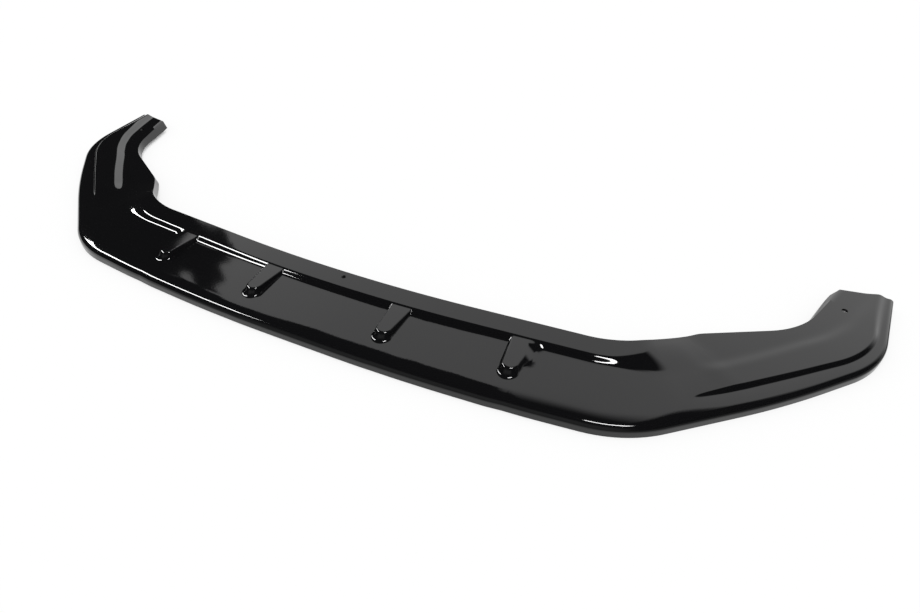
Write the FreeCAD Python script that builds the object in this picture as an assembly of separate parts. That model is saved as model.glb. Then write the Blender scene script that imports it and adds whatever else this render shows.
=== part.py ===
"""Front splitter lip: one thermoformed sheet, hollow below, with a raised rear land,
four tongues, raised wing panels and three fixing holes. Millimetres, +Z up.
Origin: centre of the plan at the height the lip stands on. The front looks along -Y."""
import FreeCAD
import Part
import math
import os

V = FreeCAD.Vector

# Overall plan
overall_width = 1760.0
overall_depth = 538.0
sheet = 4.0

# outer edge, right half: corners of the plan measured in from the tip and back from the front,
# with their bends
bow_x = 240.0
bow_bend = 3200.0
corner_in = 356.0
corner_rise = 33.5
corner_bend = 210.0
sweep_in = 158.0
sweep_rise = 202.5
sweep_bend = 1400.0
shoulder_in = 22.5
shoulder_rise = 348.0
shoulder_bend = 200.0

# inner edge, right half: chord of the middle and the corners up to the tip
middle_chord = 158.0
inner_bow_x = 123.0
inner_bow_bend = 2850.0
root_in = 402.0
root_rise = 29.5
root_bend = 150.0
kink_in = 301.0
kink_rise = 130.0
kink_bend = 60.0
hollow_in = 148.0
hollow_rise = 217.0
hollow_bend = 150.0
tip_in = 94.5
tip_slant = 18.0

# Section of the sheet
front_height = 20.0
front_roll = 9.0
rear_roll = 8.0
plate_rise = 12.0
wing_rise = -3.0
land_step = 8.5
land_width = 42.0
step_run = 9.0
step_run_root = 60.0
panel_step = 6.0
border_root = 36.0
border_tip = 21.5
shoulder_run = 22.0
middle_lip = 14.0
tip_lip = 15.0
tip_lean = 36.0

# where the forms change along the lip, as shares of its run from middle to tip
land_fade = (0.505, 0.650)
step_soften = (0.430, 0.550)
step_firm = (0.650, 0.800)
panel_ramp = (0.540, 0.635)
border_taper = (0.635, 0.900)
tip_share = (0.800, 1.000)
# stretch of the outer edge against stretch of the inner edge, at the corner and shoulder
pairing = [(0.0, 0.0), (0.45, 0.490), (0.56, 0.575), (0.635, 0.630), (0.85, 0.885), (1.0, 1.0)]
stations = 24

# Tongues: distance from the middle, and back from the front edge to the top of the nose
tongue_places = [(127.0, 54.5), (335.0, 69.0)]
tongue_root_width = 36.0
tongue_nose_width = 26.0
tongue_drop = 0.5
tongue_side_slope = 0.5
tongue_nose_slope = 1.8
tongue_round = 6.0

# Fixing holes
middle_hole_radius = 4.0
middle_hole_setback = 13.0
wing_hole_radius = 5.0
wing_hole_in = 83.0
wing_hole_setback = 79.0

half = overall_width / 2.0
front_y = -overall_depth / 2.0


def smooth(value, start, end):
    t = min(1.0, max(0.0, (value - start) / (end - start)))
    return t * t * (3.0 - 2.0 * t)


def tangent_chain(corners, bends):
    """Straight runs through the corners, joined by tangent arcs of the given radii.
    Two arcs on a run that is too short for them share it."""
    lengths = [(b - a).Length for a, b in zip(corners, corners[1:])]
    turns = [(b - a).getAngle(c - b) for a, b, c in zip(corners, corners[1:], corners[2:])]
    reaches = [0.0] + [bend * math.tan(turn / 2.0) for bend, turn in zip(bends, turns)] + [0.0]
    room = [min(1.0, 0.98 * run / (a + b)) for run, a, b in zip(lengths, reaches, reaches[1:])]
    fits = [min(a, b) for a, b in zip(room, room[1:])]
    edges = []
    start = corners[0]
    for before, corner, after, full_bend, turn, fit in zip(corners, corners[1:], corners[2:], bends, turns, fits):
        bend = full_bend * fit
        into = (corner - before).normalize()
        away = (after - corner).normalize()
        reach = bend * math.tan(turn / 2.0)
        first = corner - into * reach
        last = corner + away * reach
        toward = (away - into).normalize()
        middle = corner + toward * bend * (1.0 / math.cos(turn / 2.0) - 1.0)
        if (first - start).Length > 0.01:
            edges.append(Part.LineSegment(start, first).toShape())
        edges.append(Part.Arc(first, middle, last).toShape())
        start = last
    edges.append(Part.LineSegment(start, corners[-1]).toShape())
    return Part.Wire(edges)


outer_corners = [
    V(0.0, front_y, 0),
    V(bow_x, front_y, 0),
    V(half - corner_in, front_y + corner_rise, 0),
    V(half - sweep_in, front_y + sweep_rise, 0),
    V(half - shoulder_in, front_y + shoulder_rise, 0),
    V(half, front_y + overall_depth, 0),
]
outer_line = tangent_chain(outer_corners, [bow_bend, corner_bend, sweep_bend, shoulder_bend])

inner_y = front_y + middle_chord
inner_corners = [
    V(0.0, inner_y, 0),
    V(inner_bow_x, inner_y, 0),
    V(half - root_in, inner_y + root_rise, 0),
    V(half - kink_in, inner_y + kink_rise, 0),
    V(half - hollow_in, inner_y + hollow_rise, 0),
    V(half - tip_in, front_y + overall_depth - tip_slant, 0),
]
inner_line = tangent_chain(inner_corners, [inner_bow_bend, root_bend, kink_bend, hollow_bend])


def along(wire, share):
    """Point of the wire at a share of its length."""
    left = share * wire.Length
    for edge in wire.Edges:
        if left <= edge.Length + 1e-6:
            return edge.valueAt(edge.getParameterByLength(min(left, edge.Length)))
        left -= edge.Length
    return wire.Edges[-1].valueAt(wire.Edges[-1].LastParameter)


def paired(share):
    for (a0, b0), (a1, b1) in zip(pairing, pairing[1:]):
        if share <= a1:
            return b0 + (b1 - b0) * (share - a0) / (a1 - a0)
    return 1.0


def top_line(share, chord):
    """Heights and places that shape the section at a share of the run."""
    fade = smooth(share, *land_fade)
    rise = plate_rise + (wing_rise - plate_rise) * fade
    land = land_step * (1.0 - fade)
    panel = panel_step * smooth(share, *panel_ramp)
    border = border_root + (border_tip - border_root) * smooth(share, *border_taper)
    return rise, land, panel, border, chord - land_width


def runs(share):
    """Lengths of the two S curves: the panel's spreads at the tip, the land's at the root."""
    border_run = step_run + (shoulder_run - step_run) * smooth(share, *tip_share)
    spread = smooth(share, *step_soften) - smooth(share, *step_firm)
    return border_run, step_run + (step_run_root - step_run) * spread


def skin(share, inset):
    """Pole lists of one side of the sheet, from the rim at the front to the rear lip."""
    start = along(outer_line, share)
    end = along(inner_line, paired(share))
    chord = (end - start).Length
    across = (end - start).normalize()
    rise, land, panel, border, land_at = top_line(share, chord)
    border_run, land_run = runs(share)
    slope = rise / chord

    def at(u, z):
        return start + across * u + V(0, 0, z)

    def level(u):
        return front_height + slope * u - inset

    def step(u, low, height, run):
        """S curve up onto a raised field, level with the fields on both sides."""
        shift = 0.4 * inset * step_run / run
        u0 = u - run / 2.0 + shift
        u1 = u + run / 2.0 + shift
        u2 = u0 + run * 0.45
        u3 = u1 - run * 0.45
        return [at(u0, low + level(u0)), at(u2, low + level(u2)),
                at(u3, low + height + level(u3)), at(u1, low + height + level(u1))]

    def roll(wall_u, side, radius, top, lean, foot_z):
        """Wall and roll up onto the top; below the roll the wall leans out."""
        r = radius - inset
        hub_u = wall_u + side * r
        hub_z = top - r
        low_u = hub_u - side * r * math.cos(lean)
        low_z = hub_z + r * math.sin(lean)
        foot_u = low_u - side * (low_z - foot_z) * math.tan(lean)
        pull = 4.0 / 3.0 * math.tan((math.pi / 2.0 - lean) / 4.0) * r
        bend = at(low_u + side * pull * math.sin(lean), low_z + pull * math.cos(lean))
        wall = [at(foot_u, foot_z), at(low_u, low_z)]
        return wall, [wall[1], bend, at(hub_u - side * pull, top), at(hub_u, top)]

    lean = math.radians(tip_lean) * smooth(share, *tip_share)
    rear_top = land + panel + level(chord - rear_roll)
    lip = middle_lip + (tip_lip - middle_lip) * smooth(share, *tip_share)
    front_wall, front_arc = roll(inset, 1.0, front_roll, level(front_roll), 0.0, 0.0)
    rear_wall, rear_arc = roll(chord - inset, -1.0, rear_roll, rear_top, lean, rear_top + inset - lip)
    border_step = step(border, 0.0, panel, border_run)
    land_s = step(land_at, panel, land, land_run)
    return [
        front_wall,
        front_arc,
        [front_arc[-1], border_step[0]],
        border_step,
        [border_step[-1], land_s[0]],
        land_s,
        [land_s[-1], rear_arc[-1]],
        rear_arc[::-1],
        rear_wall[::-1],
    ]


def halved(poles):
    """The two halves of a curve of four poles; a straight run stays whole."""
    if len(poles) == 2:
        return [poles]
    rows = [poles]
    while len(rows[-1]) > 1:
        rows.append([(p + q) * 0.5 for p, q in zip(rows[-1], rows[-1][1:])])
    return [[row[0] for row in rows], [row[-1] for row in rows[::-1]]]


def section(share):
    """Pole lists round the whole section of the sheet, ending with the rim edge."""
    show = skin(share, 0.0)
    hidden = [poles[::-1] for poles in skin(share, sheet)[::-1]]
    lip_edge = [show[-1][-1], hidden[0][0]]
    rim_edge = [hidden[-1][-1], show[0][0]]
    curves = []
    for poles in show + [lip_edge] + hidden + [rim_edge]:
        curves += halved(poles)
    return curves


def mirrored(curves):
    return [[V(-p.x, p.y, p.z) for p in poles] for poles in curves]


def run_line(points):
    """Cubic line from tip to tip through one pole of every section."""
    line = Part.BSplineCurve()
    line.interpolate(Points=points, Parameters=[float(k) for k in range(len(points))])
    return line


def strip(rows):
    """Face between the run lines of one curve of the section."""
    lines = [run_line(list(points)) for points in zip(*rows)]
    first = lines[0]
    degree = len(lines) - 1
    ends = [degree + 1, degree + 1]
    surface = Part.BSplineSurface()
    surface.buildFromPolesMultsKnots([line.getPoles() for line in lines], ends, first.getMultiplicities(),
                                     [0.0, 1.0], first.getKnots(), False, False, degree, first.Degree)
    return surface.toShape()


def straight_edge(start, end):
    return Part.LineSegment(start, end).toShape()


def end_cap(curves):
    """Flat face that closes the sheet at a wing tip."""
    edges = []
    for poles in curves:
        curve = Part.BezierCurve()
        curve.setPoles(poles)
        edges.append(curve.toShape())
    return Part.Face(Part.Wire(edges))


def formed_sheet():
    """Sheet of even thickness from tip to tip, standing on a flat rim."""
    right = [section(k / stations) for k in range(stations + 1)]
    sections = [mirrored(curves) for curves in right[:0:-1]] + right
    rows = list(zip(*sections))
    faces = [strip(row) for row in rows[:-1]]
    inner_foot, outer_foot = [list(points) for points in zip(*rows[-1])]
    rim = Part.Wire([
        run_line(outer_foot).toShape(),
        straight_edge(outer_foot[-1], inner_foot[-1]),
        run_line(inner_foot).toShape(),
        straight_edge(inner_foot[0], outer_foot[0]),
    ])
    faces += [Part.Face(rim), end_cap(sections[0]), end_cap(sections[-1])]
    skin_shell = Part.makeCompound(faces)
    skin_shell.sewShape(0.01)
    solid = Part.Solid(skin_shell.Shells[0])
    if solid.Volume < 0.0:
        solid.reverse()
    return solid


def tongue(centre_x, nose_setback, inset):
    """Tapered tongue with a sloping round nose, drafted sides and a rolled top edge."""
    nose_y = front_y + nose_setback
    root_y = front_y + middle_chord - land_width + step_run
    land_edge = front_height + plate_rise * (1.0 - land_width / middle_chord) + land_step
    top = land_edge - tongue_drop - inset
    base = front_height - sheet - 1.0

    def outline(z):
        """Plan of the tongue at a height; the offset for the sheet is square to its walls."""
        depth = land_edge - tongue_drop - z
        grow = tongue_side_slope * depth - inset * math.hypot(1.0, tongue_side_slope)
        advance = tongue_nose_slope * depth - inset * math.hypot(1.0, tongue_nose_slope)
        r = tongue_nose_width / 2.0 + grow
        w = tongue_root_width / 2.0 + grow
        hub = nose_y - advance + r
        reach = root_y - hub
        turn = math.acos(r / math.hypot(w, reach)) - math.atan2(reach, w)
        touch_x = r * math.cos(turn)
        touch_y = hub - r * math.sin(turn)
        side = Part.LineSegment(V(centre_x - w, root_y, z), V(centre_x - touch_x, touch_y, z)).toShape()
        nose = Part.Arc(V(centre_x - touch_x, touch_y, z), V(centre_x, hub - r, z),
                        V(centre_x + touch_x, touch_y, z)).toShape()
        back = Part.LineSegment(V(centre_x + touch_x, touch_y, z), V(centre_x + w, root_y, z)).toShape()
        root = Part.LineSegment(V(centre_x + w, root_y, z), V(centre_x - w, root_y, z)).toShape()
        return Part.Wire([side, nose, back, root])

    body = Part.makeLoft([outline(base), outline(top)], True, True)
    rim = [e for e in body.Edges
           if all(abs(v.Z - top) < 1e-6 for v in e.Vertexes)
           and min(v.Y for v in e.Vertexes) < root_y - 1.0]
    return body.makeFillet(tongue_round - inset, rim)


def below_plate(centre_x):
    """Everything under the middle of the sheet's thickness around one tongue."""
    edge_y = min((p.y for p in outer_line.discretize(Distance=5.0) if abs(p.x - abs(centre_x)) < 5.0))
    fall = math.degrees(math.atan(plate_rise / middle_chord))
    block = Part.makeBox(4.0 * tongue_root_width, middle_chord, 4.0 * front_height,
                         V(-2.0 * tongue_root_width, 0, -4.0 * front_height))
    block.rotate(V(0, 0, 0), V(1, 0, 0), fall)
    block.translate(V(centre_x, edge_y, front_height - sheet / 2.0))
    return block


shell = formed_sheet()
for x, setback in tongue_places:
    for side in (-1.0, 1.0):
        shell = shell.fuse(tongue(side * x, setback, 0.0).cut(below_plate(side * x)))
        shell = shell.cut(tongue(side * x, setback, sheet))

holes = [Part.makeCylinder(middle_hole_radius, 80, V(0, inner_y - middle_hole_setback, 0))]
for side in (-1.0, 1.0):
    place = V(side * (half - wing_hole_in), front_y + overall_depth - wing_hole_setback, 0)
    holes.append(Part.makeCylinder(wing_hole_radius, 80, place))
for hole in holes:
    shell = shell.cut(hole)

print("solids", len(shell.Solids), "valid", shell.isValid(), "volume", round(shell.Volume / 1000.0, 1))
box = shell.BoundBox
print("box", [round(v, 2) for v in (box.XMin, box.YMin, box.ZMin, box.XMax, box.YMax, box.ZMax)])

os.makedirs("parts", exist_ok=True)
shell.Solids[0].exportStep("parts/splitter_lip.step")
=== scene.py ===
"""Front splitter lip of one gloss black formed sheet, with its studio."""
import math
import bpy
from mathutils import Matrix, Vector


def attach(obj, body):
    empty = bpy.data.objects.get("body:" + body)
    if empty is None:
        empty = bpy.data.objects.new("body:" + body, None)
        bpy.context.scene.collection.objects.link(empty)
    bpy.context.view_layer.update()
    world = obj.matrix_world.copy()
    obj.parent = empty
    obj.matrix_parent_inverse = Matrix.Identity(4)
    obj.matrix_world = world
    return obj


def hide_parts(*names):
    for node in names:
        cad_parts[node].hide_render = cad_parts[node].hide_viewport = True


bl_info = {
    "name": "Front splitter lip",
    "version": (1, 0, 0),
    "blender": (4, 5, 0),
    "location": "View3D > Sidebar > Splitter lip",
    "description": "Builds a formed front splitter lip and the studio it stands in",
    "category": "Object",
}

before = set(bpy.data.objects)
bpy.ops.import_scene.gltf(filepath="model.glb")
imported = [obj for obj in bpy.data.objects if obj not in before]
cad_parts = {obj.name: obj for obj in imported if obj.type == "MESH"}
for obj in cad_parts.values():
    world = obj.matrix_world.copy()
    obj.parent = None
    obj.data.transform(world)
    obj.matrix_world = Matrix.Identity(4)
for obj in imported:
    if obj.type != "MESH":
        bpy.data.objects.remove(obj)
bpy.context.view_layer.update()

# Corners of the plan, as (distance in from the tip, distance back from the front, bend radius).
OUTER_PLAN = [
    (0.640, 0.0, 3.2),
    (0.356, 0.0335, 0.21),
    (0.158, 0.2025, 1.4),
    (0.0225, 0.348, 0.20),
]
INNER_PLAN = [
    (0.757, 0.158, 2.85),
    (0.402, 0.1875, 0.15),
    (0.301, 0.288, 0.06),
    (0.148, 0.375, 0.15),
]
INNER_TIP = (0.0945, 0.520)
MIDDLE_CHORD = INNER_PLAN[0][1]
# Share of the outer edge against share of the inner edge, for sections square to the lip.
PAIRING = [(0.0, 0.0), (0.45, 0.490), (0.56, 0.575), (0.635, 0.630), (0.85, 0.885), (1.0, 1.0)]
# Places of the tongues: distance from the middle, distance of the nose back from the front.
TONGUES = [(0.127, 0.0515), (0.335, 0.066)]
# Shares of the run, from middle to tip, over which the section changes.
LAND_FADE = (0.505, 0.650)
STEP_SOFTEN = (0.430, 0.550)
STEP_FIRM = (0.650, 0.800)
PANEL_RAMP = (0.540, 0.635)
LEAN_START = (0.440, 0.540)
TIP = (0.800, 1.000)

# Runs and widths below are pairs: the first value, and the one it changes to along the lip.
# Border outside the wing panels, and the run of the S curve up onto them.
BORDER_WIDTH = (0.036, 0.0215)
BORDER_END = 0.9
BORDER_RUN = (0.009, 0.022)
LAND_RUN = (0.0139, 0.060)
# Soft fall across the wings: distance in from the outer edge, its run, and their shares.
FOLD_PLACE = (0.084, 0.036)
FOLD_SHARES = (0.77, 1.02)
FOLD_RUN = (0.030, 0.040)
FOLD_START = (0.585, 0.620)

# Tongues: reach of the roots onto the step of the land, and the plan window of each tongue.
ROOT_OVERLAP = 0.010
TONGUE_REACH = 0.05
TONGUE_FRONT = 0.008
# Rounding of the top edge and blend into the plate: at the sides, and at the nose.
TOP_ROUND = (0.0034, 0.0046)
SIDE_BLEND = 0.0022
BLEND_FADE = 0.004
# Depths between which the outline of a tongue is searched, and the number of halvings.
DEPTH_SEARCH = (-0.02, 0.05)
HALVINGS = 26
# Cross rows that follow the tongue sides: room beside the root, and where they are straight again.
ROOT_ROOM = 0.0012
FOLLOW_REACH = 0.045

# Cross rows: the outer edge runs this much longer than the distance from the middle.
EDGE_LEAD = 1.035
TONGUE_TOP, TOP_STEP = 0.006, 0.0020
TONGUE_SIDE, SIDE_STEP = 0.031, 0.0009
RAMP_SHARES, RAMP_STEP = (0.44, 0.70), 0.0055
PLAIN_STEP = 0.0095
SHORTEST_STEP = 0.002
# Long rows in each field between the front roll and the rear roll.
ROW_COUNTS = [6, 38, 8, 14, 5]

ROLL_SEGMENTS = {"front": 9, "rear": 7}
SHARP_ANGLE = math.radians(58.0)
# Fixing holes: the middle one ahead of the inner edge, the wing ones in from the tip and back.
MIDDLE_HOLE_AHEAD = 0.013
WING_HOLE_IN, WING_HOLE_BACK = 0.083, 0.459

# What gloss sees of the room, in degrees: turn from +Y towards +X, and lift over the floor.
# The bright wall ends on the left at WALL_LEFT; each notch moves that end in at some lifts.
TO_DEGREES = 57.2958
WALL_LEFT = -59.5
PLATE_NOTCH, PLATE_NOTCH_DEPTH = (37.0, 39.5), 6.5
LOW_NOTCH, LOW_NOTCH_DEPTH = (29.0, 32.0), 2.8
TOP_SLANT, TOP_SLANT_DEPTH = (43.0, 60.0), 37.0
WALL_RIGHT = (36.0, 62.0)
WALL_TOP = (55.0, 66.0)
TOP_DIP, TOP_DIP_DEPTH = (14.0, 22.0), 11.0
EDGE_SHAKE, SHAKE_LIFT, EDGE_SOFTNESS = 11.0, (30.0, 34.0), 0.8
FRONT_WALL_TURN, FRONT_WALL_LIFT, FRONT_WALL_GLOW = (128.0, 155.0), (26.0, 46.0), 0.20
WALL_GLOW, DARK_GLOW = 1.08, 0.012

# Lamps: name, turn from -Y towards +X and lift in degrees, direction of the long side,
# length, width and brightness.
LAMPS = [
    ("soft_box_left", -87.3, 40.1, (0.746, -0.666, 0.0), 5.6, 0.9, 30.0),
    ("soft_box_right", 50.0, 68.0, (1.0, 0.0, 0.0), 3.0, 1.1, 30.0),
]
LAMP_DISTANCE = 8.0

CAMERA_PLACE = (0.5392, -0.84227, 0.69219)
CAMERA_RIGHT = (0.9069, 0.4208, 0.02144)
CAMERA_BACK = (0.31405, -0.70901, 0.63141)
SENSOR_WIDTH = 36.0


class LipSizes(bpy.types.PropertyGroup):
    width: bpy.props.FloatProperty(
        name="Width", description="Tip to tip",
        default=1.76, min=1.4, max=2.2, unit="LENGTH")
    depth: bpy.props.FloatProperty(
        name="Depth", description="Front edge to wing tips",
        default=0.538, min=0.4, max=0.7, unit="LENGTH")
    sheet: bpy.props.FloatProperty(
        name="Sheet", description="Thickness of the formed sheet",
        default=0.004, min=0.002, max=0.006, unit="LENGTH")
    front_height: bpy.props.FloatProperty(
        name="Front height", description="Height of the front roll over the rim",
        default=0.020, min=0.012, max=0.04, unit="LENGTH")
    front_roll: bpy.props.FloatProperty(
        name="Front roll", description="Radius of the roll along the outer edge",
        default=0.009, min=0.004, max=0.012, unit="LENGTH")
    rear_roll: bpy.props.FloatProperty(
        name="Rear roll", description="Radius of the roll along the inner edge",
        default=0.008, min=0.004, max=0.012, unit="LENGTH")
    plate_rise: bpy.props.FloatProperty(
        name="Plate rise", description="Rise of the plate from front to rear",
        default=0.0134, min=0.0, max=0.03, unit="LENGTH")
    wing_rise: bpy.props.FloatProperty(
        name="Wing rise", description="Rise of the wings towards the inner edge",
        default=-0.003, min=-0.01, max=0.02, unit="LENGTH")
    crown: bpy.props.FloatProperty(
        name="Front crown", description="Fall of the sheet before the front roll",
        default=0.0019, min=0.0, max=0.004, unit="LENGTH")
    crown_run: bpy.props.FloatProperty(
        name="Front crown run", description="Width over which the sheet falls before the front roll",
        default=0.027, min=0.015, max=0.04, unit="LENGTH")
    land_step: bpy.props.FloatProperty(
        name="Land step", description="Height of the rear land over the plate",
        default=0.0062, min=0.0, max=0.02, unit="LENGTH")
    land_width: bpy.props.FloatProperty(
        name="Land width", description="Step line to the rear edge",
        default=0.042, min=0.03, max=0.06, unit="LENGTH")
    panel_step: bpy.props.FloatProperty(
        name="Panel step", description="Height of the wing panels over their border",
        default=0.006, min=0.0, max=0.012, unit="LENGTH")
    tongue_drop: bpy.props.FloatProperty(
        name="Tongue drop", description="Tongue tops below the edge of the land",
        default=0.0005, min=0.0, max=0.006, unit="LENGTH")
    tongue_root: bpy.props.FloatProperty(
        name="Tongue root", description="Width of the tongues at the land",
        default=0.036, min=0.02, max=0.06, unit="LENGTH")
    tongue_nose: bpy.props.FloatProperty(
        name="Tongue nose", description="Width of the tongues at the nose",
        default=0.0245, min=0.01, max=0.05, unit="LENGTH")
    side_slope: bpy.props.FloatProperty(
        name="Side slope", description="Spread of the tongue sides for each unit of depth",
        default=0.30, min=0.1, max=2.0)
    nose_slope: bpy.props.FloatProperty(
        name="Nose slope", description="Reach of the tongue nose for each unit of depth",
        default=0.72, min=0.2, max=3.0)
    foot_blend: bpy.props.FloatProperty(
        name="Foot blend", description="Height over which a tongue runs out into the plate",
        default=0.0058, min=0.0, max=0.01, unit="LENGTH")
    middle_lip: bpy.props.FloatProperty(
        name="Rear lip, middle", description="Depth of the turned-down rear edge",
        default=0.014, min=0.009, max=0.02, unit="LENGTH")
    wing_lean: bpy.props.FloatProperty(
        name="Wing lean", description="Lean of the rear lip along the wings",
        default=math.radians(18.0), min=0.0, max=1.2, subtype="ANGLE")
    tip_lean: bpy.props.FloatProperty(
        name="Tip lean", description="Lean of the rear lip at the wing tips",
        default=math.radians(36.0), min=0.0, max=1.2, subtype="ANGLE")
    tip_lip: bpy.props.FloatProperty(
        name="Rear lip, tips", description="Depth of the turned-down edge at the wing tips",
        default=0.015, min=0.009, max=0.02, unit="LENGTH")
    middle_hole: bpy.props.FloatProperty(
        name="Middle hole", description="Radius of the hole in the land",
        default=0.004, min=0.002, max=0.008, unit="LENGTH")
    wing_hole: bpy.props.FloatProperty(
        name="Wing hole", description="Radius of the holes in the wing tips",
        default=0.005, min=0.002, max=0.008, unit="LENGTH")


class LipFinish(bpy.types.PropertyGroup):
    black: bpy.props.FloatVectorProperty(
        name="Gloss black", description="Colour of the sheet",
        subtype="COLOR", size=3, default=(0.0045, 0.0045, 0.005), min=0.0, max=1.0)
    roughness: bpy.props.FloatProperty(
        name="Gloss roughness", description="Roughness of the show side",
        default=0.045, min=0.0, max=1.0)
    underside: bpy.props.FloatVectorProperty(
        name="Underside black", description="Colour of the mould side",
        subtype="COLOR", size=3, default=(0.011, 0.011, 0.012), min=0.0, max=1.0)


class LipStudio(bpy.types.PropertyGroup):
    floor: bpy.props.FloatVectorProperty(
        name="Floor", description="Colour of the floor",
        subtype="COLOR", size=3, default=(0.97, 0.97, 0.97), min=0.0, max=1.0)
    lens: bpy.props.FloatProperty(
        name="Lens", description="Focal length in millimetres",
        default=24.728, min=10.0, max=200.0)


def smooth(value, start, end):
    t = min(1.0, max(0.0, (value - start) / (end - start)))
    return t * t * (3.0 - 2.0 * t)


def mix(a, b, t):
    return a + (b - a) * t


def s_curve(share):
    """Height share of a moulded S curve at a share of its run."""
    if share <= 0.0 or share >= 1.0:
        return min(1.0, max(0.0, share))
    t = share
    for _ in range(5):
        place = 1.35 * (1 - t) ** 2 * t + 1.65 * (1 - t) * t * t + t ** 3
        speed = 1.35 * (1 - t) ** 2 + 0.6 * (1 - t) * t + 1.35 * t * t
        t -= (place - share) / speed
    return 3.0 * (1.0 - t) * t * t + t ** 3


class EdgeLine:
    """Plan line of straight runs joined by tangent arcs, measured by length."""

    def __init__(self, corners, bends):
        self.runs = []
        self.length = 0.0
        start = corners[0]
        for before, corner, after, bend in zip(corners, corners[1:], corners[2:], bends):
            into = (corner - before).normalized()
            away = (after - corner).normalized()
            turn = into.angle_signed(away)
            reach = bend * math.tan(abs(turn) / 2.0)
            first = corner - into * reach
            self.add(start, into, (first - start).length, 0.0)
            self.add(first, into, abs(turn) * bend, -math.copysign(1.0, turn) / bend)
            start = corner + away * reach
        away = (corners[-1] - start)
        self.add(start, away.normalized(), away.length, 0.0)

    def add(self, start, heading, length, curl):
        if length > 1e-6:
            self.runs.append((self.length, start, heading, length, curl))
            self.length += length

    def at(self, share):
        left = share * self.length
        for begin, start, heading, length, curl in self.runs:
            if left <= begin + length + 1e-9:
                break
        s = left - begin
        if curl == 0.0:
            return start + heading * s
        a = curl * s
        side = Vector((-heading.y, heading.x))
        return start + heading * (math.sin(a) / curl) + side * ((1.0 - math.cos(a)) / curl)


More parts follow.
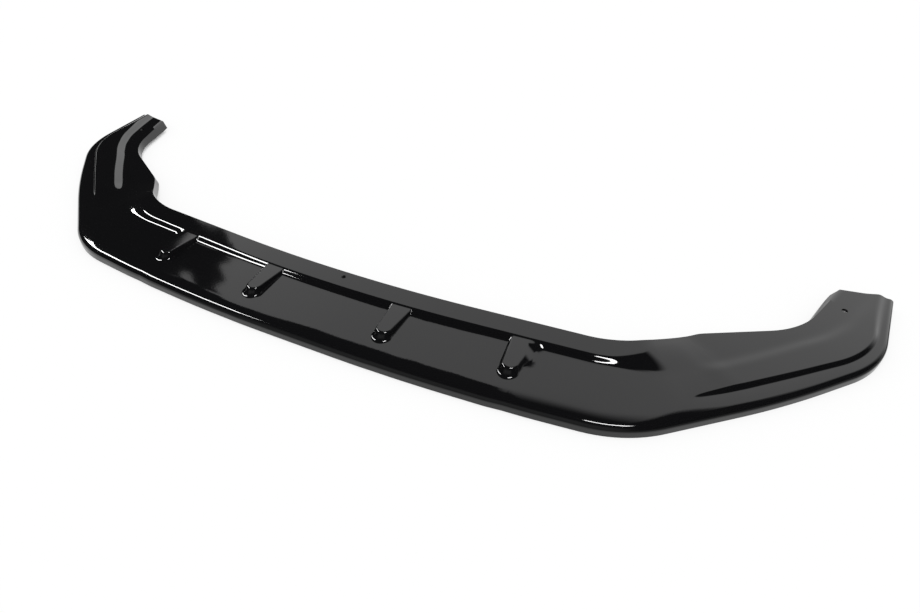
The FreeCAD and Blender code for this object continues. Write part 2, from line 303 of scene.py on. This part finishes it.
class LipForm:
    """The moulded form: plan lines, section heights and tongues."""

    def __init__(self, z):
        self.z = z
        half, front = z.width / 2.0, -z.depth / 2.0
        self.front = front
        self.root = front + MIDDLE_CHORD - z.land_width + ROOT_OVERLAP
        outer = [Vector((0.0, front))]
        outer += [Vector((half - x, front + y)) for x, y, bend in OUTER_PLAN]
        outer.append(Vector((half, front + z.depth)))
        inner = [Vector((0.0, front + MIDDLE_CHORD))]
        inner += [Vector((half - x, front + y)) for x, y, bend in INNER_PLAN]
        inner.append(Vector((half - INNER_TIP[0], front + INNER_TIP[1])))
        self.outer = EdgeLine(outer, [bend for x, y, bend in OUTER_PLAN])
        self.inner = EdgeLine(inner, [bend for x, y, bend in INNER_PLAN])

    def section(self, share):
        s = abs(share)
        for (a0, b0), (a1, b1) in zip(PAIRING, PAIRING[1:]):
            if s <= a1:
                other = mix(b0, b1, (s - a0) / (a1 - a0))
                break
        start, end = self.outer.at(s), self.inner.at(other)
        if share < 0.0:
            start, end = Vector((-start.x, start.y)), Vector((-end.x, end.y))
        return start, end

    def raised(self, value, centre, run, height):
        """S curve up onto a raised field."""
        return height * s_curve((value - centre) / run + 0.5)

    def height(self, share, u, chord, x, y):
        """Height of the show side at a distance u back from the outer edge."""
        z = self.z
        s = abs(share)
        fade = smooth(s, *LAND_FADE)
        panel = z.panel_step * smooth(s, *PANEL_RAMP)
        border = mix(*BORDER_WIDTH, smooth(s, PANEL_RAMP[1], BORDER_END))
        border_run = mix(*BORDER_RUN, smooth(s, *TIP))
        land_run = mix(*LAND_RUN, smooth(s, *STEP_SOFTEN) - smooth(s, *STEP_FIRM))
        fold_run = mix(*FOLD_RUN, smooth(s, *TIP))
        fall = s_curve((u - mix(*FOLD_PLACE, smooth(s, *FOLD_SHARES))) / fold_run + 0.5)
        fall = mix(u / chord, fall, smooth(s, *FOLD_START))
        base = z.front_height + mix(z.plate_rise * u / chord, z.wing_rise * fall, fade)
        base -= z.crown * max(0.0, 1.0 - u / z.crown_run) ** 2
        base += self.raised(u, border, border_run, panel)
        land_start = chord - z.land_width - land_run / 2.0
        base += z.land_step * (1.0 - fade) * smooth(u, land_start, land_start + land_run)
        return base + self.tongue(abs(x), y, base)

    def tongue(self, x, y, base):
        """Rise of the nearest tongue over the form at a point of the plan."""
        z = self.z
        land_share = 1.0 - z.land_width / MIDDLE_CHORD
        top = z.front_height + z.plate_rise * land_share + z.land_step - z.tongue_drop
        for centre, setback in TONGUES:
            across = abs(x - centre)
            if across > TONGUE_REACH or y < self.front + TONGUE_FRONT:
                continue
            low, high = DEPTH_SEARCH
            for _ in range(HALVINGS):
                depth = (low + high) / 2.0
                r = z.tongue_nose / 2.0 + z.side_slope * depth
                w = z.tongue_root / 2.0 + z.side_slope * depth
                hub = self.front + setback - z.nose_slope * depth + r
                if y < hub:
                    inside = across * across + (hub - y) ** 2 <= r * r
                else:
                    inside = across <= mix(r, w, (y - hub) / (self.root - hub))
                low, high = (low, depth) if inside else (depth, high)
            nose_radius = z.tongue_nose / 2.0
            nose = smooth(self.front + setback + nose_radius - y, 0.0, nose_radius)
            edge = mix(*TOP_ROUND, nose)
            if depth > edge:
                fall = depth
            elif depth > -edge:
                fall = (depth + edge) ** 2 / (4.0 * edge)
            else:
                fall = 0.0
            lift = top - fall - base
            blend = mix(SIDE_BLEND, z.foot_blend, nose) * smooth(top - base, 0.0, BLEND_FADE)
            if blend < 1e-5 or lift > blend:
                return max(0.0, lift)
            if lift < -blend:
                return 0.0
            return (lift + blend) ** 2 / (4.0 * blend)
        return 0.0

    def beside(self, x, y):
        """Draws the cross rows together along the tapering sides of the nearest tongue."""
        z = self.z
        reach = z.tongue_root / 2.0 + ROOT_ROOM
        for centre, setback in TONGUES:
            off = abs(x) - centre
            if abs(off) >= FOLLOW_REACH:
                continue
            hub = self.front + setback + z.tongue_nose / 2.0
            t = min(1.0, max(0.0, (y - hub) / (self.root - hub)))
            pull = (z.tongue_root - z.tongue_nose) / 2.0 * (1.0 - t)
            share = min(abs(off) / reach, (FOLLOW_REACH - abs(off)) / (FOLLOW_REACH - reach))
            return math.copysign(centre + off - math.copysign(pull * share, off), x)
        return x

    def lean(self, share):
        wing = self.z.wing_lean * smooth(abs(share), *LEAN_START)
        return mix(wing, self.z.tip_lean, smooth(abs(share), *TIP))

    def corner_shift(self, share):
        """How far a leaning rear lip draws the corner of the sheet in."""
        return self.z.rear_roll * (1.0 - math.tan((math.pi / 2.0 - self.lean(share)) / 2.0))

    def rear_lip(self, share):
        z = self.z
        return mix(z.middle_lip, z.tip_lip, smooth(abs(share), *TIP))


def columns(form):
    """Shares of the run for the cross rows, closer at the tongues and the ramps."""
    length = form.outer.length
    marks = [0.0]
    place = 0.0
    while place < length - 0.001:
        near = min(abs(place - centre * EDGE_LEAD) for centre, setback in TONGUES)
        if near < TONGUE_TOP:
            step = TOP_STEP
        elif near < TONGUE_SIDE:
            step = SIDE_STEP
        elif RAMP_SHARES[0] < place / length < RAMP_SHARES[1]:
            step = RAMP_STEP
        else:
            step = PLAIN_STEP
        place += step
        marks.append(min(length, place))
    if length - marks[-2] < SHORTEST_STEP:
        marks.pop(-2)
    marks[-1] = length
    half = [m / length for m in marks]
    return [-s for s in half[:0:-1]] + half


def rows(chord, share):
    """Distances across the sheet for the long rows, closer at the noses and steps."""
    wing = smooth(abs(share), 0.55, 0.95)
    spread = smooth(abs(share), *STEP_SOFTEN) - smooth(abs(share), *STEP_FIRM)
    stops = [
        0.0095,
        mix(0.0315, 0.0120, wing),
        mix(0.066, 0.034, wing),
        mix(chord - 0.049, chord - 0.078, spread),
        mix(chord - 0.032, chord - 0.016, spread),
        chord - 0.0090,
    ]
    out = [0.0]
    for a, b, n in zip(stops, stops[1:], ROW_COUNTS):
        out += [mix(a, b, k / n) for k in range(n)]
    return out + [stops[-1], chord]


def deselect_all():
    for obj in bpy.context.selected_objects:
        obj.select_set(False)


def make_active(obj):
    deselect_all()
    obj.select_set(True)
    bpy.context.view_layer.objects.active = obj


def choose_edges(obj, keep):
    """Leaves edit mode with only the wanted edges selected, and enters it again."""
    bpy.ops.object.mode_set(mode="OBJECT")
    mesh = obj.data
    for group in (mesh.vertices, mesh.edges, mesh.polygons):
        group.foreach_set("select", [False] * len(group))
    for edge in mesh.edges:
        if keep(edge):
            edge.select = True
            for v in edge.vertices:
                mesh.vertices[v].select = True
    bpy.ops.object.mode_set(mode="EDIT")
    bpy.ops.mesh.select_mode(type="EDGE")


def new_noise(nodes, scale, detail):
    node = nodes.new("ShaderNodeTexNoise")
    node.inputs["Scale"].default_value = scale
    node.inputs["Detail"].default_value = detail
    return node


def new_bump(nodes, strength, distance):
    node = nodes.new("ShaderNodeBump")
    node.inputs["Strength"].default_value = strength
    node.inputs["Distance"].default_value = distance
    return node


def new_range(nodes, low, high, start, end):
    """Node that maps low to start and high to end."""
    node = nodes.new("ShaderNodeMapRange")
    node.inputs["From Min"].default_value = low
    node.inputs["From Max"].default_value = high
    node.inputs["To Min"].default_value = start
    node.inputs["To Max"].default_value = end
    return node


def gloss_material(finish):
    """Formed sheet: deep black with the faint ripple and grain that a heated sheet keeps."""
    mat = bpy.data.materials.new("gloss_black_sheet")
    mat.use_nodes = True
    nodes, links = mat.node_tree.nodes, mat.node_tree.links
    shader = nodes["Principled BSDF"]
    shader.inputs["Base Color"].default_value = (*finish.black, 1.0)
    shader.inputs["Roughness"].default_value = finish.roughness
    shader.inputs["IOR"].default_value = 1.52
    place = nodes.new("ShaderNodeTexCoord")
    ripple = new_noise(nodes, 9.0, 1.0)
    peel = new_noise(nodes, 420.0, 1.0)
    broad = new_bump(nodes, 0.12, 0.004)
    fine = new_bump(nodes, 0.05, 0.0002)
    links.new(place.outputs["Object"], ripple.inputs["Vector"])
    links.new(place.outputs["Object"], peel.inputs["Vector"])
    links.new(ripple.outputs["Fac"], broad.inputs["Height"])
    links.new(peel.outputs["Fac"], fine.inputs["Height"])
    links.new(broad.outputs["Normal"], fine.inputs["Normal"])
    links.new(fine.outputs["Normal"], shader.inputs["Normal"])
    return mat


def underside_material(finish):
    """Mould side of the sheet: satin with a fine grain."""
    mat = bpy.data.materials.new("satin_underside")
    mat.use_nodes = True
    nodes, links = mat.node_tree.nodes, mat.node_tree.links
    shader = nodes["Principled BSDF"]
    shader.inputs["Base Color"].default_value = (*finish.underside, 1.0)
    shader.inputs["Roughness"].default_value = 0.42
    shader.inputs["IOR"].default_value = 1.5
    place = nodes.new("ShaderNodeTexCoord")
    grain = new_noise(nodes, 900.0, 3.0)
    bump = new_bump(nodes, 0.35, 0.0003)
    links.new(place.outputs["Object"], grain.inputs["Vector"])
    links.new(grain.outputs["Fac"], bump.inputs["Height"])
    links.new(bump.outputs["Normal"], shader.inputs["Normal"])
    return mat


class OBJECT_OT_lip_sheet(bpy.types.Operator):
    """Form the gloss sheet of the lip over its mould and trim it"""
    bl_idname = "object.lip_sheet"
    bl_label = "Formed sheet"

    def execute(self, context):
        z = context.scene.lip_sizes
        form = LipForm(z)
        runs = columns(form)
        count = len(rows(0.16, 0.0))
        deselect_all()
        bpy.ops.mesh.primitive_grid_add(
            x_subdivisions=len(runs) - 1, y_subdivisions=count - 1,
            size=1.0, location=(0, 0, 0))
        lip = context.active_object
        lip.name = "lip_sheet"
        mesh = lip.data
        points = []
        for v in mesh.vertices:
            i = int(round((v.co.x + 0.5) * (len(runs) - 1)))
            j = int(round((v.co.y + 0.5) * (count - 1)))
            points.append((i, j))
        placed, below = [], {}
        for k, (i, j) in enumerate(points):
            share = runs[i]
            start, end = form.section(share)
            chord = (end - start).length
            across = (end - start) / chord
            u = rows(chord - form.corner_shift(share), share)[j]
            spot = start + across * u
            spot.x = form.beside(spot.x, spot.y)
            high = form.height(share, u, chord, spot.x, spot.y)
            placed.append((spot.x, spot.y, high))
            if j == 0:
                below[k] = (spot.x, spot.y, 0.0)
            elif j == count - 1:
                drop = form.rear_lip(share)
                foot = spot + across * drop * math.tan(form.lean(share))
                below[k] = (foot.x, foot.y, high - drop)
        mesh.vertices.foreach_set("co", [c for p in placed for c in p])
        front = {k for k, (i, j) in enumerate(points) if j == 0}
        rear = {k for k, (i, j) in enumerate(points) if j == count - 1}
        self.turn_down(lip, front, below)
        self.turn_down(lip, rear, below)
        self.roll(lip, front, z.front_roll, ROLL_SEGMENTS["front"])
        self.roll(lip, rear, z.rear_roll, ROLL_SEGMENTS["rear"])
        bpy.ops.object.mode_set(mode="OBJECT")
        self.thicken(lip, z)
        self.pierce(lip, z, form)
        bpy.ops.object.shade_smooth_by_angle(angle=SHARP_ANGLE)
        finish = context.scene.lip_finish
        lip.data.materials.clear()
        lip.data.materials.append(gloss_material(finish))
        lip.data.materials.append(underside_material(finish))
        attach(lip, "root")
        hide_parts("splitter_lip")
        return {"FINISHED"}

    def turn_down(self, lip, loop, below):
        """Extrudes a border loop of the sheet into an upright flange."""
        make_active(lip)
        choose_edges(lip, lambda e: e.vertices[0] in loop and e.vertices[1] in loop)
        bpy.ops.mesh.extrude_edges_move()
        bpy.ops.object.mode_set(mode="OBJECT")
        mesh = lip.data
        above = {}
        for edge in mesh.edges:
            a, b = edge.vertices
            if a in loop and mesh.vertices[b].select and b not in loop:
                above[b] = a
            if b in loop and mesh.vertices[a].select and a not in loop:
                above[a] = b
        for low, high in above.items():
            mesh.vertices[low].co = below[high]
        bpy.ops.object.mode_set(mode="EDIT")

    def roll(self, lip, loop, radius, segments):
        """Rolls the edge between sheet and flange."""
        choose_edges(lip, lambda e: e.vertices[0] in loop and e.vertices[1] in loop)
        bpy.ops.mesh.bevel(
            offset=radius, offset_type="OFFSET", segments=segments,
            profile=0.5, affect="EDGES", clamp_overlap=False)

    def thicken(self, lip, z):
        """Gives the sheet its wall, from the show side down."""
        make_active(lip)
        bpy.ops.object.mode_set(mode="EDIT")
        bpy.ops.mesh.select_all(action="SELECT")
        bpy.ops.mesh.normals_make_consistent(inside=False)
        bpy.ops.object.mode_set(mode="OBJECT")
        top = max(lip.data.polygons, key=lambda p: p.area * abs(p.normal.z))
        if top.normal.z < 0.0:
            lip.data.flip_normals()
        wall = lip.modifiers.new("wall", "SOLIDIFY")
        wall.thickness = z.sheet
        wall.offset = -1.0
        wall.use_even_offset = False
        wall.use_quality_normals = True
        wall.material_offset = 1
        wall.material_offset_rim = 0
        bpy.ops.object.modifier_apply(modifier="wall")

    def pierce(self, lip, z, form):
        """Cuts the three fixing holes."""
        half = z.width / 2.0
        spots = [(0.0, form.front + MIDDLE_CHORD - MIDDLE_HOLE_AHEAD, z.middle_hole)]
        for side in (-1.0, 1.0):
            spots.append((side * (half - WING_HOLE_IN), form.front + WING_HOLE_BACK, z.wing_hole))
        for x, y, radius in spots:
            deselect_all()
            bpy.ops.mesh.primitive_cylinder_add(
                vertices=40, radius=radius, depth=0.1, location=(x, y, 0.02))
            drill = bpy.context.active_object
            make_active(lip)
            cut = lip.modifiers.new("hole", "BOOLEAN")
            cut.operation = "DIFFERENCE"
            cut.solver = "EXACT"
            cut.object = drill
            bpy.ops.object.modifier_apply(modifier="hole")
            bpy.data.objects.remove(drill)


class SCENE_OT_lip_studio(bpy.types.Operator):
    """Build the floor, the light and the camera"""
    bl_idname = "scene.lip_studio"
    bl_label = "Studio"

    def execute(self, context):
        studio = context.scene.lip_studio
        deselect_all()
        bpy.ops.mesh.primitive_plane_add(size=30.0, location=(0.0, 0.0, 0.0))
        floor = context.active_object
        floor.name = "studio_floor"
        floor.data.materials.append(self.floor_material(studio))
        self.light_world(context.scene)
        self.lamps()
        self.camera(context.scene, studio)
        context.scene.view_settings.view_transform = "Standard"
        return {"FINISHED"}

    def floor_material(self, studio):
        """White paper that glows white. An occlusion mask takes the glow away under and beside the
        lip: a painted shadow over the faint real one in the diffuse part. Gloss sees it end in the
        dark ahead of the lip.
        """
        mat = bpy.data.materials.new("white_floor")
        mat.use_nodes = True
        nodes, links = mat.node_tree.nodes, mat.node_tree.links
        shader = nodes["Principled BSDF"]
        shader.inputs["Base Color"].default_value = (*studio.floor, 1.0)
        shader.inputs["Roughness"].default_value = 0.9
        shader.inputs["Specular IOR Level"].default_value = 0.0
        glow = nodes.new("ShaderNodeEmission")
        glow.inputs["Color"].default_value = (1.0, 1.0, 1.0, 1.0)
        path = nodes.new("ShaderNodeLightPath")
        # Painted shadow: ambient occlusion masks the glow off where the lip covers the floor, so the
        # floor is darker under and beside the lip.
        shadow_occlusion = nodes.new("ShaderNodeAmbientOcclusion")
        shadow_occlusion.samples = 4
        shadow_occlusion.inputs["Distance"].default_value = 0.08
        glow_outside_painted_shadow = new_range(nodes, 0.12, 0.42, 0.0, 0.82)
        place = nodes.new("ShaderNodeTexCoord")
        ahead = nodes.new("ShaderNodeVectorMath")
        ahead.operation = "DOT_PRODUCT"
        ahead.inputs[1].default_value = (0.5, -1.0, 0.0)
        paper = new_range(nodes, 0.02, 0.22, 1.0, 0.0)
        near = new_range(nodes, 0.012, 0.045, 1.0, 0.0)
        pale = nodes.new("ShaderNodeMath")
        pale.operation = "MAXIMUM"
        gloss = nodes.new("ShaderNodeMix")
        gloss.data_type = "FLOAT"
        gloss.inputs["A"].default_value = 1.01
        seen = nodes.new("ShaderNodeMath")
        seen.operation = "MAXIMUM"
        share = nodes.new("ShaderNodeMath")
        share.operation = "MULTIPLY"
        blend = nodes.new("ShaderNodeMixShader")
        links.new(place.outputs["Object"], ahead.inputs[0])
        links.new(ahead.outputs["Value"], paper.inputs["Value"])
        links.new(path.outputs["Ray Length"], near.inputs["Value"])
        links.new(paper.outputs["Result"], pale.inputs[0])
        links.new(near.outputs["Result"], pale.inputs[1])
        links.new(path.outputs["Is Glossy Ray"], gloss.inputs["Factor"])
        links.new(pale.outputs[0], gloss.inputs["B"])
        links.new(gloss.outputs["Result"], glow.inputs["Strength"])
        # The glow share falls with the occlusion, which paints the shadow under the lip.
        links.new(shadow_occlusion.outputs["AO"], glow_outside_painted_shadow.inputs["Value"])
        links.new(path.outputs["Is Camera Ray"], seen.inputs[0])
        links.new(path.outputs["Is Glossy Ray"], seen.inputs[1])
        links.new(seen.outputs[0], share.inputs[0])
        links.new(glow_outside_painted_shadow.outputs["Result"], share.inputs[1])
        links.new(share.outputs[0], blend.inputs["Fac"])
        links.new(shader.outputs["BSDF"], blend.inputs[1])
        links.new(glow.outputs["Emission"], blend.inputs[2])
        links.new(blend.outputs["Shader"], nodes["Material Output"].inputs["Surface"])
        return mat

    def light_world(self, scene):
        """Pale room for plain light; gloss sees a bright back wall and a dim front one."""
        world = bpy.data.worlds.new("studio_world")
        scene.world = world
        world.use_nodes = True
        nodes, links = world.node_tree.nodes, world.node_tree.links
        back = nodes["Background"]

        def math_node(kind, a, b=None, c=None):
            node = nodes.new("ShaderNodeMath")
            node.operation = kind
            for slot, value in enumerate((a, b, c)):
                if value is None:
                    continue
                if isinstance(value, (int, float)):
                    node.inputs[slot].default_value = value
                else:
                    links.new(value, node.inputs[slot])
            return node.outputs[0]

        def ramp(value, low, high):
            node = nodes.new("ShaderNodeMapRange")
            node.interpolation_type = "SMOOTHSTEP"
            node.inputs["From Min"].default_value = low
            node.inputs["From Max"].default_value = high
            links.new(value, node.inputs["Value"])
            return node.outputs["Result"]

        def falling(value, low, high):
            return math_node("SUBTRACT", 1.0, ramp(value, low, high))

        place = nodes.new("ShaderNodeTexCoord")
        parts = nodes.new("ShaderNodeSeparateXYZ")
        links.new(place.outputs["Generated"], parts.inputs["Vector"])
        heading = math_node("ARCTAN2", parts.outputs["X"], parts.outputs["Y"])
        turn = math_node("MULTIPLY", heading, TO_DEGREES)
        lift = math_node("MULTIPLY", math_node("ARCSINE", parts.outputs["Z"]), TO_DEGREES)
        clutter = new_noise(nodes, 15.0, 2.5)
        links.new(place.outputs["Generated"], clutter.inputs["Vector"])
        centred = math_node("SUBTRACT", clutter.outputs["Fac"], 0.5)
        shake = math_node("MULTIPLY", centred, EDGE_SHAKE)
        lift_shaken = math_node("ADD", lift, shake)
        notch = falling(lift_shaken, *PLATE_NOTCH)
        plate_edge = math_node("MULTIPLY_ADD", notch, PLATE_NOTCH_DEPTH, WALL_LEFT)
        notch = falling(lift, *LOW_NOTCH)
        low_edge = math_node("MULTIPLY_ADD", notch, LOW_NOTCH_DEPTH, plate_edge)
        edge = math_node("MULTIPLY_ADD", ramp(lift, *TOP_SLANT), TOP_SLANT_DEPTH, low_edge)
        turn_shaken = math_node("MULTIPLY_ADD", shake, ramp(lift, *SHAKE_LIFT), turn)
        open_side = ramp(math_node("SUBTRACT", turn_shaken, edge), 0.0, EDGE_SOFTNESS)
        wall = math_node("MULTIPLY", open_side, falling(turn, *WALL_RIGHT))
        ceiling = math_node("MULTIPLY_ADD", ramp(turn, *TOP_DIP), TOP_DIP_DEPTH, lift)
        wall = math_node("MULTIPLY", wall, falling(ceiling, *WALL_TOP))
        ahead = ramp(math_node("ABSOLUTE", turn), *FRONT_WALL_TURN)
        dim = math_node("MULTIPLY", ahead, FRONT_WALL_GLOW)
        front_wall = math_node("MULTIPLY", dim, falling(lift, *FRONT_WALL_LIFT))
        room = math_node("MAXIMUM", wall, front_wall)
        seen = math_node("MULTIPLY_ADD", room, WALL_GLOW, DARK_GLOW)
        path = nodes.new("ShaderNodeLightPath")
        blend = nodes.new("ShaderNodeMix")
        blend.data_type = "FLOAT"
        links.new(path.outputs["Is Glossy Ray"], blend.inputs["Factor"])
        blend.inputs["A"].default_value = 1.0
        links.new(seen, blend.inputs["B"])
        back.inputs["Color"].default_value = (1.0, 1.0, 1.0, 1.0)
        links.new(blend.outputs["Result"], back.inputs["Strength"])

    def lamps(self):
        """Two soft boxes high over the lip; they only draw the glints."""
        for name, turn, lift, along, wide, tall, power in LAMPS:
            a, e = math.radians(turn), math.radians(lift)
            away = Vector((math.sin(a) * math.cos(e), -math.cos(a) * math.cos(e), math.sin(e)))
            side = (Vector(along) - away * away.dot(Vector(along))).normalized()
            data = bpy.data.lights.new(name, "AREA")
            data.shape = "RECTANGLE"
            data.size = wide
            data.size_y = tall
            data.energy = power * wide * tall * math.pi
            lamp = bpy.data.objects.new(name, data)
            bpy.context.scene.collection.objects.link(lamp)
            pose = Matrix((side, away.cross(side), away)).transposed().to_4x4()
            pose.translation = away * LAMP_DISTANCE
            lamp.matrix_world = pose
            lamp.visible_diffuse = False
            lamp.visible_camera = False

    def camera(self, scene, studio):
        data = bpy.data.cameras.new("photo_camera")
        data.sensor_fit = "HORIZONTAL"
        data.sensor_width = SENSOR_WIDTH
        data.lens = studio.lens
        camera = bpy.data.objects.new("photo_camera", data)
        scene.collection.objects.link(camera)
        right = Vector(CAMERA_RIGHT).normalized()
        back = Vector(CAMERA_BACK).normalized()
        up = back.cross(right).normalized()
        right = up.cross(back)
        turn = Matrix((right, up, back)).transposed().to_4x4()
        turn.translation = Vector(CAMERA_PLACE)
        camera.matrix_world = turn
        scene.camera = camera


class VIEW3D_PT_lip(bpy.types.Panel):
    bl_label = "Splitter lip"
    bl_space_type = "VIEW_3D"
    bl_region_type = "UI"
    bl_category = "Splitter lip"

    def draw(self, context):
        layout = self.layout
        for group in (context.scene.lip_sizes, context.scene.lip_finish, context.scene.lip_studio):
            for name in group.__annotations__:
                layout.prop(group, name)
        layout.operator("object.lip_sheet")
        layout.operator("scene.lip_studio")


CLASSES = (LipSizes, LipFinish, LipStudio, OBJECT_OT_lip_sheet, SCENE_OT_lip_studio, VIEW3D_PT_lip)


def register():
    for cls in CLASSES:
        bpy.utils.register_class(cls)
    bpy.types.Scene.lip_sizes = bpy.props.PointerProperty(type=LipSizes)
    bpy.types.Scene.lip_finish = bpy.props.PointerProperty(type=LipFinish)
    bpy.types.Scene.lip_studio = bpy.props.PointerProperty(type=LipStudio)


def unregister():
    for name in ("lip_sizes", "lip_finish", "lip_studio"):
        delattr(bpy.types.Scene, name)
    for cls in reversed(CLASSES):
        bpy.utils.unregister_class(cls)


def main():
    register()
    bpy.ops.object.lip_sheet()
    bpy.ops.scene.lip_studio()


if __name__ == "__main__":
    main()
